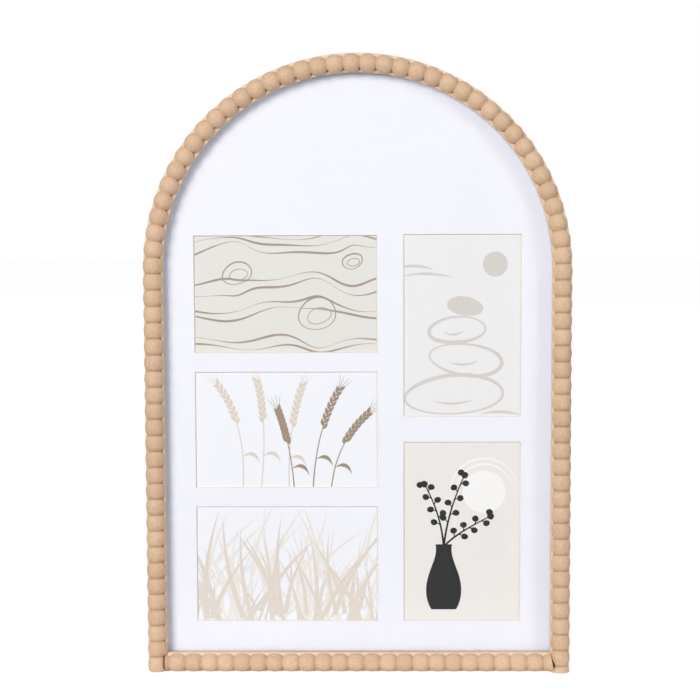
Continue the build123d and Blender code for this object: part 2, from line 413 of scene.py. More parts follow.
def clear_pane():
    """Clear glazing that lets the lamps through."""
    finish, tree, shader = new_finish("clear_pane")
    coat(shader, (1, 1, 1, 1), 0.0)
    set_inputs(shader, {"Transmission Weight": 1.0, "IOR": 1.12})
    rays = add_node("ShaderNodeLightPath", {}, tree).node.outputs
    passing = maths("MAXIMUM", rays["Is Shadow Ray"], rays["Is Diffuse Ray"])
    open_air = add_node("ShaderNodeBsdfTransparent", {}, tree)
    pane = add_node("ShaderNodeMixShader", {0: passing, 1: shader.outputs[0], 2: open_air})
    set_inputs(tree.nodes["Material Output"], {"Surface": pane})
    return finish


def paper_tape():
    """Crinkled paper tape."""
    finish, tree, shader = new_finish("paper_tape")
    crinkle = waves(object_place(tree), 900, 220, 3.0)
    colour = mixed(crinkle, srgb(226, 214, 190), srgb(238, 228, 208))
    coat(shader, colour, 0.75, raised(crinkle, 0.03 * MM))
    return finish


# Pieces


def keep_piece(piece, body, slot, *nodes):
    """Piece that rides on a body and stands for some nodes; the slot is not used."""
    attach(piece, body)
    if nodes:
        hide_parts(*nodes)
    return piece


def dress(node, finish):
    """Gives a node of the frame its finish."""
    body = frame["nodes"][node].data
    body.materials.clear()
    body.materials.append(finish)


def smooth_faces(mesh, crease=40):
    """Smooth shading, with edges sharp past an angle in degrees."""
    mesh.shade_smooth()
    mesh.set_sharp_from_angle(angle=radians(crease))


def linked(name, data):
    """Object with some data, in the scene."""
    piece = bpy.data.objects.new(name, data)
    bpy.context.scene.collection.objects.link(piece)
    return piece


def mesh_from(work, name):
    """Mesh of a worked-out shape, whose own memory is freed."""
    mesh = bpy.data.meshes.new(name)
    work.to_mesh(mesh)
    work.free()
    return mesh


def settled(piece):
    """The piece with its modifiers worked into its mesh."""
    bpy.context.view_layer.update()
    shaped = piece.evaluated_get(bpy.context.evaluated_depsgraph_get())
    mesh = bpy.data.meshes.new_from_object(shaped)
    piece.modifiers.clear()
    piece.data = mesh
    return piece


def carve(piece, *cutters, crossed=False):
    """Cuts objects out of a piece and removes them; crossed ones run through themselves."""
    for cutter in cutters:
        cut = piece.modifiers.new(cutter.name, "BOOLEAN")
        cut.object = cutter
        cut.solver = "EXACT"
        cut.use_self = crossed
    settled(piece)
    for cutter in cutters:
        bpy.data.objects.remove(cutter)


def cut_off(work, place, outward):
    """Takes off what lies beyond a plane, and returns the edges of the cut."""
    every = work.verts[:] + work.edges[:] + work.faces[:]
    cut = bmesh.ops.bisect_plane(work, geom=every, plane_co=place, plane_no=outward, clear_outer=True)
    return [part for part in cut["geom_cut"] if isinstance(part, bmesh.types.BMEdge)]


def add_stroke(line, points, closed=False):
    """Adds a run of straight bits through some points to a curve."""
    spline = line.splines.new("POLY")
    spline.points.add(len(points) - 1)
    for spot, (x, y) in zip(spline.points, points):
        spot.co = (x, y, 0, 1)
    spline.use_cyclic_u = closed


def shape_tree(name, sizes):
    """Empty Geometry Nodes tree with named inputs, and its input sockets by name."""
    tree = bpy.data.node_groups.new(name, "GeometryNodeTree")
    for size, kind in sizes.items():
        tree.interface.new_socket(size, in_out="INPUT", socket_type="NodeSocket" + kind)
    tree.interface.new_socket("Shape", in_out="OUTPUT", socket_type="NodeSocketGeometry")
    given = tree.nodes.new("NodeGroupInput")
    return tree, {socket.name: socket for socket in given.outputs if socket.name}


def end_tree(shape, finish):
    """Tree whose result is a shape, made real and given its finish."""
    tree = shape.id_data
    real = add_node("GeometryNodeRealizeInstances", {0: shape})
    done = add_node("GeometryNodeSetMaterial", {"Geometry": real, "Material": finish})
    set_inputs(tree.nodes.new("NodeGroupOutput"), {"Shape": done})
    return tree


def shape_of(piece):
    """Shape of the object that an input gives."""
    return add_node("GeometryNodeObjectInfo", {0: piece}, output="Geometry")


def planted(points, shape, turn, finish, scale=(1, 1, 1)):
    """Tree whose result is copies of a shape on points."""
    inputs = {"Points": points, "Instance": shape, "Rotation": turn, "Scale": scale}
    return end_tree(add_node("GeometryNodeInstanceOnPoints", inputs), finish)


def spun(aim, angle):
    """Rotation that is turned further about its own Z."""
    turn = add_node("FunctionNodeEulerToRotation", {0: combine(0.0, 0.0, angle)})
    return add_node("FunctionNodeRotateRotation", {0: aim, 1: turn}, rotation_space="LOCAL")


def chance(low, high, seed, shift):
    """Random number for each point."""
    inputs = {2: low, 3: high, "Seed": plus(seed, shift)}
    return add_node("FunctionNodeRandomValue", inputs, output=1, data_type="FLOAT")


def grown(name, tree, values, points=()):
    """Piece that a tree makes from its named values, on points where it needs some."""
    mesh = bpy.data.meshes.new(name)
    mesh.from_pydata(points, [], [])
    piece = linked(name, mesh)
    modifier = piece.modifiers.new("shape", "NODES")
    modifier.node_group = tree
    for item in tree.interface.items_tree:
        if item.in_out == "INPUT" and item.name in values:
            modifier[item.identifier] = values[item.name]
    return settled(piece)


def store(shape, name, value, kind="FLOAT"):
    """Shape that keeps a value at each point under a name."""
    inputs = {"Geometry": shape, "Name": name, "Value": value}
    return add_node("GeometryNodeStoreNamedAttribute", inputs, data_type=kind, domain="POINT")


def named(tree, name):
    """Number kept under a name."""
    return add_node("GeometryNodeInputNamedAttribute", {"Name": name}, tree, data_type="FLOAT")


def arch_line(tree, start, end, step, leg, radius, bulge=0.0, lag=0.0, lag_length=1.0):
    """Line up the left leg, over the arch and down the right leg, flat in XY, and the length along it.

    Its points keep that length and how far they are into the bend. The bend's shoulders may bulge,
    and the points may lag behind an even step over a length from the start."""
    steps = maths("DIVIDE", minus(end, start), step)
    count = plus(maths("CEIL", minus(steps, 0.01)), 1)
    points = add_node("GeometryNodeMeshLine", {"Count": count, "Offset": (0, MM, 0)}, mode="OFFSET")
    line = add_node("GeometryNodeMeshToCurve", {0: points})
    index = add_node("GeometryNodeInputIndex", {}, tree)
    along = maths("MINIMUM", maths("MULTIPLY_ADD", index, step, start), end)
    line = store(line, "along", along)
    along = named(tree, "along")
    way = maths("MINIMUM", maths("DIVIDE", along, lag_length), 1)
    behind = times(maths("SINE", times(way, pi)), lag)
    beyond = minus(minus(along, behind), leg)
    turn = maths("MINIMUM", maths("MAXIMUM", maths("DIVIDE", beyond, radius), 0), pi)
    past = maths("MAXIMUM", minus(beyond, times(radius, pi)), 0)
    straight = plus(maths("MINIMUM", beyond, 0), past)
    side = maths("SINE", turn)
    rise = maths("COSINE", turn)
    line = store(line, "in_bend", remap(side, 0.0, 0.3))
    shoulder = maths("POWER", times(times(side, rise), 2), 2)
    reach = maths("MULTIPLY_ADD", shoulder, bulge, radius)
    x = minus(times(side, straight), times(rise, reach))
    y = plus(times(rise, straight), times(side, reach))
    place = combine(x, plus(y, leg), 0.0)
    line = add_node("GeometryNodeSetPosition", {"Geometry": line, "Position": place})
    return add_node("GeometryNodeSetCurveNormal", {0: line}, mode="Z_UP"), along


def swept(tree, line, section, scale):
    """Section swept along a line, keeping each point's place in the wood: across, deep and along."""
    spot = add_node("GeometryNodeInputPosition", {}, tree)
    section = store(section, "across", axis_of(spot, 0))
    section = store(section, "deep", axis_of(spot, 1))
    line = store(line, "swell", scale)
    swell = named(tree, "swell")
    inputs = {"Curve": line, "Profile Curve": section, "Scale": swell, "Fill Caps": True}
    body = add_node("GeometryNodeCurveToMesh", inputs)
    spot = [times(named(tree, name), swell) for name in ("across", "deep")]
    place = combine(*spot, named(tree, "along"))
    return store(body, "wood_place", place, "FLOAT_VECTOR")


trim_sizes = ("Start", "End", "Leg", "Bend Radius", "Bulge", "Lag", "Lag Length", "Pitch", "Steps",
              "Neck Radius", "Bend Neck Radius", "Bead Radius", "Spread", "Fullness", "Bend Fullness",
              "Wander", "Groove Shade", "Bend Groove Shade", "Lee")


def bead_trim_tree(finish):
    """Half-round bobbin moulding: the section swells from neck to crown and back in every pitch."""
    tree, size = shape_tree("bead_trim", {**dict.fromkeys(trim_sizes, "Float"), "Seed": "Int"})
    step = maths("DIVIDE", size["Pitch"], size["Steps"])
    run = [size[name] for name in ("Leg", "Bend Radius", "Bulge", "Lag", "Lag Length")]
    line, along = arch_line(tree, size["Start"], size["End"], step, *run)
    bent = named(tree, "in_bend")

    def into_bend(name):
        """Size that changes from the legs to the bend."""
        return remap(bent, 0.0, 1.0, size[name], size["Bend " + name])

    beads = maths("DIVIDE", along, size["Pitch"])
    flank = minus(times(maths("FRACT", beads), 2), 1)
    line = store(line, "lee_flank", times(flank, size["Lee"]))
    share = maths("ABSOLUTE", flank)
    line = store(line, "to_groove", share)
    line = store(line, "groove_shade", into_bend("Groove Shade"))
    number = maths("FLOOR", plus(beads, 0.001))
    lot = {"ID": number, "Seed": size["Seed"]}
    tone = add_node("FunctionNodeRandomValue", lot, output=1, data_type="FLOAT")
    line = store(line, "bead_tone", tone)
    thinner = times(maths("FRACT", times(tone, 7)), size["Wander"])
    neck = into_bend("Neck Radius")
    crown = minus(1, maths("POWER", share, into_bend("Fullness")))
    swell = times(minus(size["Bead Radius"], neck), crown)
    swell = plus(neck, times(swell, minus(1, thinner)))
    inputs = {"Resolution": 25, "Radius": 1.0, "Start Angle": 0.0, "Sweep Angle": -pi,
              "Connect Center": True}
    section = add_node("GeometryNodeCurveArc", inputs, tree, mode="RADIUS")
    inputs = {"Geometry": section, "Scale": combine(size["Spread"], 1.0, 1.0)}
    section = add_node("GeometryNodeTransform", inputs)
    return end_tree(swept(tree, line, section, swell), finish)


facing_front = Matrix.Rotation(radians(90), 4, "X")
on_rails = Matrix.Translation((0, rail_front, 0)) @ facing_front


def trim_stretch(name, tree, start, end, growth=0.0):
    """Stretch of the legs' and the arch's trim, grown on its radius."""
    values = {"Start": start, "End": end, "Leg": trim_leg, "Bend Radius": trim_radius,
              "Bulge": arch_bulge, "Lag": arch_bead_lag, "Lag Length": arch_bead_lag_length,
              "Pitch": arch_bead_pitch, "Steps": steps_per_bead, "Neck Radius": leg_neck_radius + growth,
              "Bend Neck Radius": arch_neck_radius + growth, "Bead Radius": bead_radius + growth,
              "Spread": bead_spread, "Fullness": bead_fullness, "Bend Fullness": arch_bead_fullness,
              "Wander": bead_wander, "Groove Shade": leg_groove_shade,
              "Bend Groove Shade": arch_groove_shade, "Seed": 4}
    piece = grown(name, tree, values)
    piece.data.transform(on_rails)
    return piece


def let_in_left(trim, notch_end):
    """Cuts back the left leg's lowest bead, where the bottom trim is let into it."""
    low = Vector((notch_end, 2 * trim_low.y, -rail_width))
    high = Vector((-sight_radius + rail_width, rail_front + rail_width, arch_bead_pitch))
    place = Matrix.Translation((low + high) / 2) @ Matrix.Diagonal((*(high - low), 1))
    work = bmesh.new()
    bmesh.ops.create_cube(work, size=1, matrix=place)
    carve(trim, linked("left_notch", mesh_from(work, "left_notch")))


def lean_right_end(trim, middle):
    """Cuts the right end of the bottom trim at a slant through its middle."""
    work = bmesh.new()
    work.from_mesh(trim.data)
    bmesh.ops.edgeloop_fill(work, edges=cut_off(work, middle, (1, 0, right_end_lean)))
    bmesh.ops.recalc_face_normals(work, faces=work.faces)
    work.to_mesh(trim.data)
    work.free()


def bottom_trim(tree):
    """Trim of the bottom rail, let into the left leg's trim and coped to the right leg's."""
    length = 2 * sight_radius - first_bottom_groove + trim_right_lap + right_end_waste
    slice_length = left_slice_steps * rail_bead_pitch / steps_per_bead
    values = {"Start": -slice_length, "End": length, "Leg": length, "Bend Radius": 0.0,
              "Lag Length": length, "Pitch": rail_bead_pitch, "Steps": steps_per_bead,
              "Neck Radius": neck_radius, "Bead Radius": bead_radius, "Spread": 1.0,
              "Fullness": bead_fullness, "Wander": bead_wander, "Lee": 1.0, "Seed": 9}
    trim = grown("bottom_bead_trim_turned", tree, values)
    start = Matrix.Translation((-sight_radius + first_bottom_groove, rail_front, bottom_axis))
    trim.data.transform(start @ facing_front @ Matrix.Rotation(radians(-90), 4, "Z"))
    lean_right_end(trim, (sight_radius + trim_right_lap, rail_front, bottom_axis))
    copes = (("left_cope", arch_bead_pitch, left_cope_height),
             ("right_cope", trim_length - right_cope_height, trim_length))
    carve(trim, *[trim_stretch(name, tree, first, last, trim_joint_gap) for name, first, last in copes])
    return trim


def joint_shadow_plug(name, finish, radius, left, right, lean=0.0):
    """Dark plug deep in a joint of the trims, painted shadow seen only in the gap, whose ends may lean."""
    place = Matrix.Translation(((left + right) / 2, rail_front, bottom_axis))
    leaning = Matrix.Identity(4)
    leaning[0][2] = -lean
    lying = place @ leaning @ Matrix.Rotation(radians(90), 4, "Y")
    work = bmesh.new()
    bmesh.ops.create_cone(work, cap_ends=True, segments=48, radius1=radius, radius2=radius,
                          depth=right - left, matrix=lying)
    mesh = mesh_from(work, name)
    mesh.materials.append(finish)
    smooth_faces(mesh)
    return keep_piece(linked(name, mesh), "frame", "bead_wood")


def rail_section():
    """Section of the hoop, with the rebate behind its lip: inwards is +X and backwards is +Y."""
    lip = glazing_front - rail_front
    back = rail_back - rail_front
    land = outer_radius - rebate_radius
    corners = ((0, 0), (0, back), (land, back), (land, lip), (rail_width, lip), (rail_width, 0))
    line = bpy.data.curves.new("rail_section", "CURVE")
    add_stroke(line, corners, True)
    return linked("rail_section", line)


def rail_tree(finish):
    """Hoop: its section, with softened edges, along the legs and the arch."""
    sizes = dict.fromkeys(("Leg", "Bend Radius", "Step", "Length", "Edge"), "Float")
    tree, size = shape_tree("arch_rail", {**sizes, "Section": "Object"})
    line, _ = arch_line(tree, 0.0, size["Length"], size["Step"], size["Leg"], size["Bend Radius"])
    inputs = {0: shape_of(size["Section"]), "Count": 3, "Radius": size["Edge"]}
    section = add_node("GeometryNodeFilletCurve", inputs, mode="POLY")
    return end_tree(swept(tree, line, section, 1.0), finish)


def hoop():
    """The rail of the legs and the arch."""
    section = rail_section()
    values = {"Leg": spring_height, "Bend Radius": outer_radius, "Step": hoop_step, "Edge": rail_edge,
              "Length": 2 * spring_height + pi * outer_radius, "Section": section}
    wood = rail_wood("rail_wood", kept_place, kept_place, srgb(240, 216, 188), srgb(230, 201, 170))
    rail = grown("arch_rail_sanded", rail_tree(wood), values)
    bpy.data.objects.remove(section)
    rail.data.transform(on_rails)
    return rail


def softened(node, edge, finish, slot):
    """Copy of a node with rounded edges, in its place."""
    mesh = frame["nodes"][node].data.copy()
    work = bmesh.new()
    work.from_mesh(mesh)
    bmesh.ops.remove_doubles(work, verts=work.verts, dist=weld_reach)
    bmesh.ops.dissolve_limit(work, angle_limit=flat_angle, verts=work.verts, edges=work.edges)
    if edge:
        sharp = [line for line in work.edges if line.calc_face_angle(0) > sharp_angle]
        bmesh.ops.bevel(work, geom=sharp, offset=edge, segments=3, profile=0.5, affect="EDGES")
    work.to_mesh(mesh)
    work.free()
    mesh.materials.clear()
    mesh.materials.append(finish)
    smooth_faces(mesh)
    return keep_piece(linked(node + "_finished", mesh), frame["nodes"][node]["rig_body"], slot, node)


# Prints: flat ink shapes, drawn in millimetres from the middle of a window


def bend(controls, count=28):
    """Points along the smooth curve that control points draw."""
    points = []
    for step in range(count + 1):
        row = [Vector(control) for control in controls]
        while len(row) > 1:
            row = [first.lerp(second, step / count) for first, second in zip(row, row[1:])]
        points.append(row[0])
    return points


def oval(x, y, width, height, lean=0.0, wobble=0.0, count=72):
    """Points round an oval, which a wobble makes uneven like a pebble."""
    points = []
    for step in range(count):
        turn = 2 * pi * step / count
        swell = 1 + wobble * (sin(2 * turn + x) + 0.6 * sin(3 * turn + y))
        spot = Vector((cos(turn) * width / 2, sin(turn) * height / 2)) * swell
        points.append(Vector((x, y)) + Matrix.Rotation(radians(lean), 2) @ spot)
    return points


class Drawing:
    """Shapes of one ink; each lies a little in front of the one before."""

    def __init__(self):
        self.sheet = bmesh.new()
        self.shapes = 0

    def spots(self, points):
        """Corners at some points, at the next height."""
        self.shapes += 1
        height = self.shapes % 6 * ink_step / MM
        return [self.sheet.verts.new((point.x, point.y, height)) for point in points]

    def shape(self, outline):
        """Filled outline."""
        self.sheet.faces.new(self.spots(outline))

    def band(self, line, width_at, closed=False):
        """Stroke along a line; its width follows the share of the way along it."""
        left, right = [], []
        last = len(line) - 1
        for place, point in enumerate(line):
            before = line[place - 1] if closed or place else point
            after = line[(place + 1) % len(line)] if closed or place < last else point
            along = (after - before).normalized()
            half = Vector((-along.y, along.x)) * width_at(place / last) / 2
            left.append(point + half)
            right.append(point - half)
        corners = self.spots(left + right)
        count = len(line)
        for place in range(count if closed else last):
            following = (place + 1) % count
            spots = (place, following, following + count, place + count)
            self.sheet.faces.new([corners[spot] for spot in spots])


def ink_piece(name, node, sheet, finish, layer):
    """Ink shapes cut off at the window, given a thickness and laid on their print."""
    low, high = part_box(node)
    middle = (low + high) / 2
    hidden = mat_overlap + bevel_width
    reach_x = (high.x - low.x) / 2 - hidden
    reach_y = (high.z - low.z) / 2 - hidden
    bmesh.ops.scale(sheet, vec=(MM, MM, MM), verts=sheet.verts)
    bmesh.ops.triangulate(sheet, faces=sheet.faces)
    for side in (1, -1):
        for out in (Vector((side * reach_x, 0, 0)), Vector((0, side * reach_y, 0))):
            cut_off(sheet, out, out)
    raised_up = bmesh.ops.extrude_face_region(sheet, geom=sheet.faces[:])["geom"]
    fronts = [part for part in raised_up if isinstance(part, bmesh.types.BMVert)]
    bmesh.ops.translate(sheet, vec=(0, 0, ink_depth), verts=fronts)
    bmesh.ops.recalc_face_normals(sheet, faces=sheet.faces)
    mesh = mesh_from(sheet, name)
    place = Matrix.Translation((middle.x, low.y - (layer + 0.2) * ink_depth, middle.z))
    mesh.transform(place @ facing_front)
    mesh.materials.append(finish)
    return keep_piece(linked(name, mesh), "frame", "print_paper")


def leaf_mesh(name, width_at, lean_at, count):
    """Flat pointed shape one long, standing on the origin; its width and lean follow its height."""
    rows = [step / count for step in range(count + 1)]
    corners = [(lean_at(row) + side * width_at(row) / 2, row, 0) for row in rows for side in (-1, 1)]
    faces = [(2 * row, 2 * row + 1, 2 * row + 3, 2 * row + 2) for row in range(count)]
    mesh = bpy.data.meshes.new(name)
    mesh.from_pydata(corners, [], faces)
    return linked(name, mesh)


def meadow_tree(finish):
    """Blades of grass along a line, each with its own place, lean and height."""
    sizes = dict.fromkeys(("Width", "Foot", "Scatter", "Shortest", "Tallest", "Lean"), "Float")
    tree, size = shape_tree("meadow", {**sizes, "Blade": "Object", "Blades": "Int", "Seed": "Int"})
    seed = size["Seed"]

    def either_way(name, shift):
        """Random number for each point, up to a size to either side."""
        return chance(times(size[name], -1), size[name], seed, shift)

    start = combine(times(size["Width"], -0.5), size["Foot"], 0.0)
    offset = combine(maths("DIVIDE", size["Width"], size["Blades"]), 0.0, 0.0)
    inputs = {"Count": size["Blades"], "Start Location": start, "Offset": offset}
    line = add_node("GeometryNodeMeshLine", inputs, tree, mode="OFFSET")
    front = chance(0.0, 6 * ink_step / MM, seed, 3)
    aside = combine(either_way("Scatter", 1), either_way("Scatter", 2), front)
    spots = add_node("GeometryNodeSetPosition", {"Geometry": line, "Offset": aside})
    turn = combine(0.0, 0.0, either_way("Lean", 4))
    tall = chance(size["Shortest"], size["Tallest"], seed, 5)
    way = maths("SIGN", chance(-1.0, 1.0, seed, 6))
    scale = combine(times(tall, way), tall, 1.0)
    return planted(spots, shape_of(size["Blade"]), turn, finish, scale)


def ear_tree(finish):
    """Grains set to both sides of every line of an ear."""
    sizes = {"Lines": "Object", "Grain": "Object", "Grains": "Int", "Splay": "Float", "Length": "Float"}
    tree, size = shape_tree("ears", sizes)
    inputs = {"Curve": shape_of(size["Lines"]), "Count": size["Grains"]}
    spots = add_node("GeometryNodeCurveToPoints", inputs, mode="COUNT").node.outputs
    index = add_node("GeometryNodeInputIndex", {}, tree)
    side = minus(times(maths("MODULO", index, 2), 2), 1)
    height = times(maths("MODULO", index, 5), ink_step / MM)
    inputs = {"Geometry": spots[0], "Offset": combine(0.0, 0.0, height)}
    points = add_node("GeometryNodeSetPosition", inputs)
    settings = {"axis": "Y", "pivot_axis": "Z"}
    aim = add_node("FunctionNodeAlignRotationToVector", {"Vector": spots["Tangent"]}, **settings)
    turn = spun(aim, times(side, size["Splay"]))
    scale = combine(size["Length"], size["Length"], 1.0)
    return planted(points, shape_of(size["Grain"]), turn, finish, scale)


def grown_sheet(name, tree, values, *helpers):
    """Flat shapes that a tree makes, as a sheet for a print; the helpers are removed."""
    piece = grown(name, tree, values)
    sheet = bmesh.new()
    sheet.from_mesh(piece.data)
    for used in (piece, *helpers):
        bpy.data.objects.remove(used)
    return sheet


def raked_sand(ink_finish):
    """Rake lines that part round three pebbles."""
    pebbles = ((-37, 16, 11), (24, -15, 15), (51, 25, 7.5))
    heights = (-41, -33, -28, -12, -7.5, 3, 9, 26, 32, 37)
    reach = 72
    steps = 120
    lines = Drawing()
    for number, height in enumerate(heights):
        line = []
        for step in range(steps + 1):
            x = -reach + 2 * reach * step / steps
            y = height + 3.2 * sin(x / 21 + number * 0.55) + 1.4 * sin(x / 9.5 + number)
            for middle_x, middle_y, radius in pebbles:
                away = Vector((x - middle_x, y - middle_y))
                y += away.y * 1.5 * radius**2 / (away.length_squared + 0.9 * radius**2)
            line.append(Vector((x, y)))
        lines.band(line, lambda share, number=number: 1.0 + 0.75 * sin(9 * share + 2.1 * number))
    for x, y, radius in pebbles:
        rim = oval(x, y, 2 * radius, 1.55 * radius, 12, 0.05)
        lines.band(rim, lambda share: 0.85 + 0.3 * sin(2 * pi * share), True)
        core = oval(x + 0.1 * radius, y - 0.1 * radius, 1.2 * radius, 0.8 * radius, 12, 0.05)
        lines.band(core, lambda share: 0.55, True)
    ink_piece("raked_sand_ink", "print_left_top", lines.sheet, ink_finish, 1)


def wheat(name, stalks, ink_finish, layer):
    """Ears of wheat on bent stalks, with their bristles and leaves."""
    ear_start = 16  # in steps up the stalk
    leaf_start = 8
    drawing = Drawing()
    ears = bpy.data.curves.new(name + "_lines", "CURVE")
    for controls in stalks:
        stalk = bend(controls)
        drawing.band(stalk, lambda share: 1.0 - 0.5 * share)
        add_stroke(ears, stalk[ear_start:])
        tip = stalk[-1]
        along = (tip - stalk[-3]).normalized()
        for fan in (-24, -9, 8, 22):
            way = Matrix.Rotation(radians(fan), 2) @ along
            drawing.band([tip, tip + way * 7, tip + way * 13], lambda share: 0.45 - 0.3 * share)
        foot = stalk[leaf_start]
        leaf = bend((foot, foot + Vector((9, 6)), foot + Vector((13, -5))))
        drawing.band(leaf, lambda share: 0.3 + 2.6 * sin(pi * share) ** 1.5)
    lines = linked(name + "_lines", ears)
    grain = leaf_mesh(name + "_grain", lambda row: 0.42 * sin(pi * row**0.8), lambda row: 0, 8)
    values = {"Lines": lines, "Grain": grain, "Grains": 15, "Splay": radians(27), "Length": 6.4}
    sheet = grown_sheet(name + "_grains", ear_tree(ink_finish), values, lines, grain)
    ink_piece(name + "_grain_ink", "print_left_middle", sheet, ink_finish, layer)
    ink_piece(name + "_stalk_ink", "print_left_middle", drawing.sheet, ink_finish, layer - 0.9)


def meadow(name, ink_finish, layer, **values):
    """Blades of grass over the foot of a print."""
    blade = leaf_mesh(name + "_blade", lambda row: 0.05 * (1 - row**2), lambda row: 0.22 * row**2, 7)
    values = {size.title(): value for size, value in values.items()}
    sheet = grown_sheet(name, meadow_tree(ink_finish), {"Blade": blade, "Width": 150.0, **values}, blade)
    ink_piece(name + "_ink", "print_left_bottom", sheet, ink_finish, layer)


def stone_stack(ink_finish):
    """Balanced stones in outline, the top one filled, and a low sun."""
    stones = ((-6, -53, 74, 30, 2), (3, -26, 55, 24, -5), (-4, -3, 42, 20, 6))
    drawing = Drawing()
    for number, (x, y, width, height, lean) in enumerate(stones):
        outline = oval(x, y, width, height, lean, 0.035)
        drawing.band(outline, lambda share, number=number: 2.1 + 0.9 * sin(2 * pi * share + 2 * number),
                     True)
    drawing.shape(oval(2, 15, 27, 15, -8, 0.035))
    for x, y, length in ((-22, -58, 30), (-10, -28, 22), (-14, -5, 15)):
        grain = bend(((x, y), (x + length / 2, y - 4), (x + length, y + 1)))
        drawing.band(grain, lambda share: 0.4 + 1.3 * sin(pi * share))
    drawing.shape(oval(25, 47, 19, 19))
    for y, start, end in ((38, -46, -8), (44, -50, -22), (-68, 14, 46)):
        haze = bend(((start, y), ((start + end) / 2, y + 4), (end, y - 1)))
        drawing.band(haze, lambda share: 0.3 + 1.9 * sin(pi * share))
    ink_piece("stone_stack_ink", "print_right_top", drawing.sheet, ink_finish, 1)


def vase_and_berries(dark, white):
    """Black vase with berry stems, before a white disc and its rings."""
    pale = Drawing()
    pale.shape(oval(17, 31, 33, 33))
    for radius in (21.5, 26):
        sweep = oval(17, 31, 2 * radius, 2 * radius)
        pale.band(sweep[4:40], lambda share: 0.3 + 1.5 * sin(pi * share))
    ink_piece("disc_ink", "print_right_bottom", pale.sheet, white, 1)
    black = Drawing()
    profile = ((6.4, -10), (5.2, -15), (4.6, -20), (8, -27), (14.5, -34), (17, -43), (15, -53), (9.5, -61))
    foot_x = -14
    sides = [[Vector((foot_x + side * half, y)) for half, y in profile] for side in (-1, 1)]
    smooth = [bend([side[0], *side, side[-1]], 40) for side in sides]
    black.shape(smooth[0] + smooth[1][::-1])
    mouth = (foot_x, -12)
    stems = ((mouth, (foot_x - 2, 14), (-29, 37)), (mouth, (-11, 16), (2, 44)), (mouth, (-6, -2), (22, 12)))
    for controls in stems:
        stem = bend(controls)
        black.band(stem, lambda share: 1.6 - 0.8 * share)
        for place in range(9, 29, 3):
            side = 1 if place % 2 else -1
            along = (stem[place] - stem[place - 1]).normalized()
            twig = stem[place] + Matrix.Rotation(radians(48 * side), 2) @ along * (6.6 - 0.08 * place)
            black.band(bend((stem[place], stem[place] + along * 2, twig), 8), lambda share: 0.8)
            black.shape(oval(twig.x, twig.y, 5.2, 4.7, 0, 0.03, 28))
        black.shape(oval(stem[-1].x, stem[-1].y, 5.3, 5.3, 0, 0.03, 28))
    ink_piece("vase_ink", "print_right_bottom", black.sheet, dark, 2.2)


# Screws


def screw_shape(tip_depth):
    """Pan-head screw with a cross recess; its head rises along +Z from the origin."""
    shank = [(0, -tip_depth), (shank_radius, -tip_depth + tip_length), (shank_radius, 0), (head_radius, 0)]
    dome = [(head_radius * cos(turn), head_height * (0.4 + 0.6 * sin(turn)))
            for turn in (0, 0.35, 0.7, 1.05, 1.35)]
    work = bmesh.new()
    outline = (*shank, *dome, (0, head_height))
    corners = [work.verts.new((radius, 0, height)) for radius, height in outline]
    edges = [work.edges.new(pair) for pair in zip(corners, corners[1:])]
    bmesh.ops.spin(work, geom=corners + edges, axis=(0, 0, 1), cent=(0, 0, 0), angle=2 * pi, steps=28)
    bmesh.ops.remove_doubles(work, verts=work.verts, dist=0.01 * MM)
    bmesh.ops.recalc_face_normals(work, faces=work.faces)
    screw = linked("screw", mesh_from(work, "screw"))
    cross = bmesh.new()
    bar_size = Matrix.Diagonal((recess_length, recess_width, 2 * recess_depth, 1))
    for turn in (0, 90):
        bar = Matrix.Translation((0, 0, head_height)) @ Matrix.Rotation(radians(turn), 4, "Z")
        made = bmesh.ops.create_cube(cross, size=1, matrix=bar @ bar_size)
        foot = [vert for vert in made["verts"] if vert.co.z < head_height]
        bmesh.ops.scale(cross, vec=(recess_taper, recess_taper, 1), verts=foot)
    carve(screw, linked("cross", mesh_from(cross, "cross")), crossed=True)
    return screw


def screws_tree(finish):
    """Screws on points, each stopped at its own turn."""
    tree, size = shape_tree("screws", {"Points": "Geometry", "Screw": "Object", "Seed": "Int"})
    aim = add_node("FunctionNodeEulerToRotation", {0: combine(radians(-90), 0.0, 0.0, tree)})
    turn = spun(aim, chance(0.0, pi, size["Seed"], 0))
    return planted(size["Points"], shape_of(size["Screw"]), turn, finish)


def screws(node, tree, places, seed):
    """All the screws of one node, at their places in X and Z."""
    low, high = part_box(node)
    seat = high.y - head_height
    screw = screw_shape(seat - low.y)
    points = [(x, seat, z) for x, z in places]
    piece = grown(node + "_driven", tree, {"Screw": screw, "Seed": seed}, points)
    bpy.data.objects.remove(screw)
    smooth_faces(piece.data, crease=35)
    return keep_piece(piece, "frame", "zinc_steel", node)


# Build: trims and their joints

zinc = zinc_plate()
beads = bead_trim_tree(bead_wood())
arch_trim = trim_stretch("arch_bead_trim_turned", beads, arch_bead_pitch / steps_per_bead, trim_length)
foot_trim = bottom_trim(beads)
foot_start = min(corner[0] for corner in foot_trim.bound_box)
foot_end = sight_radius + trim_right_lap
let_in_left(arch_trim, foot_start - left_joint_gap)
# Dark plugs of painted shadow fill the gaps at the trims' joints
brown_gap_shadow = gap_shadow_finish("brown_gap_shadow", srgb(122, 90, 68), srgb(142, 108, 84))
joint_shadow_plug("left_joint_glue", brown_gap_shadow, left_shadow_plug_radius, foot_start - shadow_plug_reach,
           foot_start + shadow_plug_hold)
dark_gap_shadow = gap_shadow_finish("dark_gap_shadow", srgb(50, 35, 26), srgb(78, 56, 41))
joint_shadow_plug("right_joint_glue", dark_gap_shadow, right_shadow_plug_radius, foot_end - shadow_plug_hold,
           foot_end + shadow_plug_reach, right_end_lean)
for trim, node in ((arch_trim, "arch_bead_trim"), (foot_trim, "bottom_bead_trim")):
    smooth_faces(trim.data)
    keep_piece(trim, "frame", "bead_wood", node)

# Build: rails and hardware

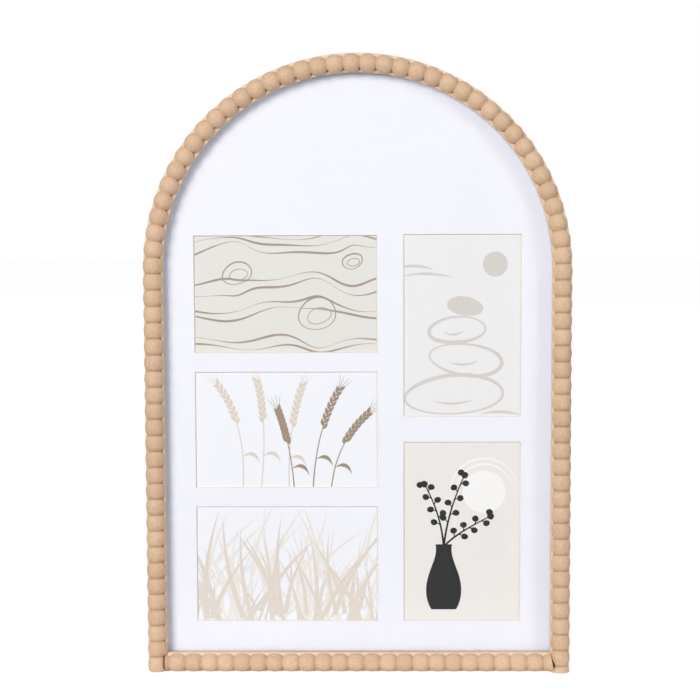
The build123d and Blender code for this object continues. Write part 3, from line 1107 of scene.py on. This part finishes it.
arch_rail = hoop()
smooth_faces(arch_rail.data, crease=50)
keep_piece(arch_rail, "frame", "rail_wood", "arch_rail")
pale_bare, mid_bare = srgb(242, 220, 196), srgb(233, 207, 180)
bare_wood = rail_wood("bare_wood", lying_place, place_behind_rails, pale_bare, mid_bare)
softened("bottom_rail", bottom_rail_edge, bare_wood, "rail_wood")
steel_edges = {"turn_button_": plate_edge, "hanger_strap_": plate_edge, "hanger_ring_": 0}
for node in frame["nodes"]:
    for start, edge in steel_edges.items():
        if node.startswith(start) and not node.endswith("screws"):
            softened(node, edge, zinc, "zinc_steel")
rubber = pad_rubber()
for side in ("left", "right"):
    softened("wall_bumper_" + side, pad_edge, rubber, "soft_pad")

# Build: panels and prints

dress("corner_dowels", bare_wood)
dress("glazing", clear_pane())
dress("mat_board", mat_card())
dress("backing_board", fibreboard())
dress("print_tapes", paper_tape())
paper_colours = {
    "print_left_top": srgb(232, 230, 225),
    "print_left_middle": srgb(246, 248, 254),
    "print_left_bottom": srgb(246, 248, 254),
    "print_right_top": srgb(241, 240, 241),
    "print_right_bottom": srgb(240, 237, 234),
}
for node, colour in paper_colours.items():
    dress(node, print_paper(node + "_paper", colour))
raked_sand(ink("taupe_line", srgb(166, 151, 136), srgb(186, 174, 161)))
taupe = ink("taupe_wheat", srgb(158, 139, 120), srgb(180, 164, 147))
pale_wheat = ink("pale_wheat", srgb(222, 209, 196), srgb(234, 225, 215))
back_stalks = (
    ((-34, -50), (-30, 5), (-52, 34)),
    ((-20, -50), (-14, 6), (-22, 36)),
    ((2, -50), (0, 0), (12, 33)),
)
front_stalks = (
    ((20, -50), (22, 0), (40, 30)),
    ((34, -50), (36, -12), (62, 12)),
    ((6, -50), (4, -14), (-6, 14)),
)
wheat("back_wheat", back_stalks, pale_wheat, 1)
wheat("front_wheat", front_stalks, taupe, 3)
pale_grass = ink("pale_grass", srgb(237, 231, 225), srgb(246, 243, 240))
meadow("far_grass", pale_grass, 1, blades=150, foot=-30.0, scatter=30.0, shortest=22.0, tallest=58.0,
       lean=0.7, seed=3)
beige_grass = ink("beige_grass", srgb(225, 215, 205), srgb(236, 229, 222))
meadow("near_grass", beige_grass, 2.2, blades=64, foot=-46.0, scatter=10.0, shortest=30.0, tallest=86.0,
       lean=0.55, seed=8)
stone_stack(ink("greige_line", srgb(214, 208, 203), srgb(226, 222, 218)))
black_ink = ink("black_ink", srgb(33, 34, 35), srgb(52, 52, 52))
white_ink = ink("white_ink", srgb(250, 249, 248), srgb(246, 244, 242))
vase_and_berries(black_ink, white_ink)

# Build: screws

button_pivots = [joint["pos_m"] for joint in frame["joints"] if joint["name"].startswith("turn_button")]
driven = screws_tree(zinc)
screws("turn_button_screws", driven, [(pivot[0], pivot[2]) for pivot in button_pivots], 2)
low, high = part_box("hanger_screws")
strap_x = high.x - head_radius
screws("hanger_screws", driven, [(side * strap_x, (low.z + high.z) / 2) for side in (-1, 1)], 5)


# Studio: white ground, soft light from the left, less from the right, one lamp behind, and the camera


def seen_straight(tree):
    """1 for the rays of the camera, of a reflection and of what is seen through glass."""
    rays = add_node("ShaderNodeLightPath", {}, tree).node.outputs
    seen = maths("MAXIMUM", rays["Is Camera Ray"], rays["Is Glossy Ray"])
    return maths("MAXIMUM", seen, rays["Is Transmission Ray"])


def studio_world(ambient):
    """White seen from the camera, and a plain level of light all round."""
    world = bpy.data.worlds.new("studio")
    world.use_nodes = True
    tree = world.node_tree
    strength = remap(seen_straight(tree), 0, 1, ambient, 1)
    set_inputs(tree.nodes["Background"], {"Color": (1, 1, 1, 1), "Strength": strength})
    bpy.context.scene.world = world


def studio_floor(half_size, share, level):
    """Pale floor, white to the camera but for the frame's faint shadow.

    It throws light back up close to the frame, and less further away."""
    mesh = bpy.data.meshes.new("floor")
    corners = [(x * half_size, y * half_size, 0) for x, y in ((-1, -1), (1, -1), (1, 1), (-1, 1))]
    mesh.from_pydata(corners, [], [(0, 1, 2, 3)])
    floor = linked("floor", mesh)
    finish, tree, shader = new_finish("pale_floor")
    seen = seen_straight(tree)
    away = maths("ABSOLUTE", axis_of(object_place(tree), 1))
    bounce = mixed(remap(away, 0.025, 0.075), srgb(240, 240, 240), srgb(158, 158, 158))
    coat(shader, mixed(seen, bounce, srgb(245, 245, 245)), 0.9, gloss=0.0)
    white = add_node("ShaderNodeEmission", {"Color": (1, 1, 1, 1), "Strength": level}, tree)
    both = add_node("ShaderNodeMixShader", {0: times(seen, share), 1: shader.outputs[0], 2: white})
    set_inputs(tree.nodes["Material Output"], {"Surface": both})
    mesh.materials.append(finish)


def softbox(name, azimuth, elevation, width, height, power, distance=3.4):
    """Large lamp that faces the middle of the frame; azimuth is to the right of its front."""
    lamp = bpy.data.lights.new(name, "AREA")
    lamp.shape = "RECTANGLE"
    lamp.size = width
    lamp.size_y = height
    lamp.energy = power
    holder = linked(name, lamp)
    turn = radians(azimuth)
    lift = radians(elevation)
    towards = Vector((sin(turn) * cos(lift), -cos(turn) * cos(lift), sin(lift)))
    holder.location = Vector((0, 0, rail_high.z / 2)) + towards * distance
    holder.rotation_euler = (-towards).to_track_quat("-Z", "Y").to_euler()


def photo_camera():
    """Camera at the photo's place and angle, worked out from the corners of the windows."""
    picture_width = 700
    focal_length = 1966  # in the picture's pixels
    place = Vector((14.9, -1490.4, 397.0)) * MM
    turns = ((-5.690, "X"), (0.124, "Y"), (0.794, "Z"), (90, "X"))  # in degrees
    camera = bpy.data.cameras.new("camera")
    camera.sensor_width = 36
    camera.lens = focal_length / picture_width * camera.sensor_width
    holder = linked("camera", camera)
    turned = Matrix.Identity(4)
    for angle, axis in turns:
        turned = turned @ Matrix.Rotation(radians(angle), 4, axis)
    holder.matrix_world = Matrix.Translation(place) @ turned
    bpy.context.scene.camera = holder


studio_world(ambient=0.35)
studio_floor(half_size=6.0, share=0.85, level=1.1)
softbox("key", azimuth=-28, elevation=18, width=1.25, height=1.4, power=75.6)
softbox("fill", azimuth=49, elevation=12, width=0.95, height=1.25, power=22.8)
softbox("back", azimuth=155, elevation=22, width=1.25, height=1.4, power=68.0)
photo_camera()
bpy.context.scene.view_settings.view_transform = "Standard"
